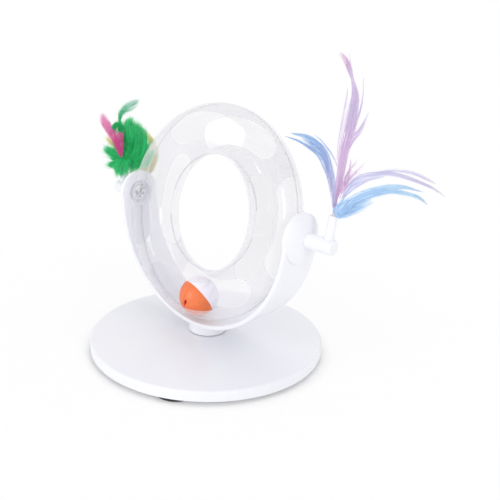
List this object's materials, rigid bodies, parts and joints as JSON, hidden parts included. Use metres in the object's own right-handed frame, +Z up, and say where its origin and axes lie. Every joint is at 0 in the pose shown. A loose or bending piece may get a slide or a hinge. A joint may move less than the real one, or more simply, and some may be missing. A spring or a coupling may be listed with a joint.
{
  "type": "cat ball track toy",
  "caption": "Cat toy: a clear tube ring with paw slots and a captive rattle ball turns in a white yoke that swivels on a round base, with feather tufts on both pivots.",
  "frame": {"origin": "under the swivel axis, on the floor that the rubber feet stand on", "axes": "+X to the right along the ring's axle, +Y to the back, +Z up along the swivel axis"},
  "size_m": [0.3834, 0.24, 0.3031],
  "materials": {
    "white_plastic": "smooth satin moulding",
    "clear_plastic": "clear, faint lavender tint",
    "black_rubber": "matte",
    "black_plastic": "matte",
    "steel": "bright zinc",
    "brass": "polished",
    "orange_plastic": "smooth",
    "ball_white_plastic": "smooth",
    "plug_plastic": "matte",
    "lilac_plume": "dyed feather",
    "blue_plume": "dyed feather",
    "lavender_plume": "dyed feather",
    "sky_plume": "dyed feather",
    "pink_plume": "dyed feather",
    "green_plume": "dyed down",
    "yellow_plume": "dyed down"
  },
  "bodies": {
    "base": {"base_cover": "white_plastic", "base_plate": "white_plastic", "rubber_feet": "black_rubber", "base_screws": "steel", "glide_washer": "black_plastic"},
    "yoke": {"yoke": "white_plastic", "swivel_washer": "steel", "swivel_screw": "steel"},
    "ring": {"ring_front_shell": "clear_plastic", "ring_back_shell": "clear_plastic", "pivot_washers": "steel", "pivot_screws": "steel", "arm_left": "white_plastic", "arm_right": "white_plastic", "quill_plugs": "plug_plastic", "lilac_feather": "lilac_plume", "blue_feather": "blue_plume", "lavender_feather": "lavender_plume", "sky_feather": "sky_plume", "pink_feather": "pink_plume", "green_fluff": "green_plume", "green_sprig": "green_plume", "yellow_fluff": "yellow_plume"},
    "bell": {"bell_shell": "brass", "bell_pellet": "steel"},
    "ball": {"ball_orange_half": "orange_plastic", "ball_white_half": "ball_white_plastic"}
  },
  "joints": [
    {"name": "yoke_swivel", "type": "hinge", "parent": "base", "child": "yoke", "pos_m": [0, 0, 0], "axis": [0, 0, 1], "continuous": true},
    {"name": "ring_spin", "type": "hinge", "parent": "yoke", "child": "ring", "pos_m": [0, 0, 0.1445], "axis": [1, 0, 0], "continuous": true},
    {"name": "ball_orbit", "type": "hinge", "parent": "ring", "child": "bell", "pos_m": [0, 0, 0.1445], "axis": [0, 0.9826, -0.1857], "continuous": true},
    {"name": "ball_roll", "type": "hinge", "parent": "bell", "child": "ball", "pos_m": [0.00224, -0.01589, 0.06042], "axis": [0, 0.9826, -0.1857], "continuous": true}
  ],
  "couplings": [
    {"joint": "ball_roll", "follows": "ball_orbit", "ratio": -5.3283}
  ]
}
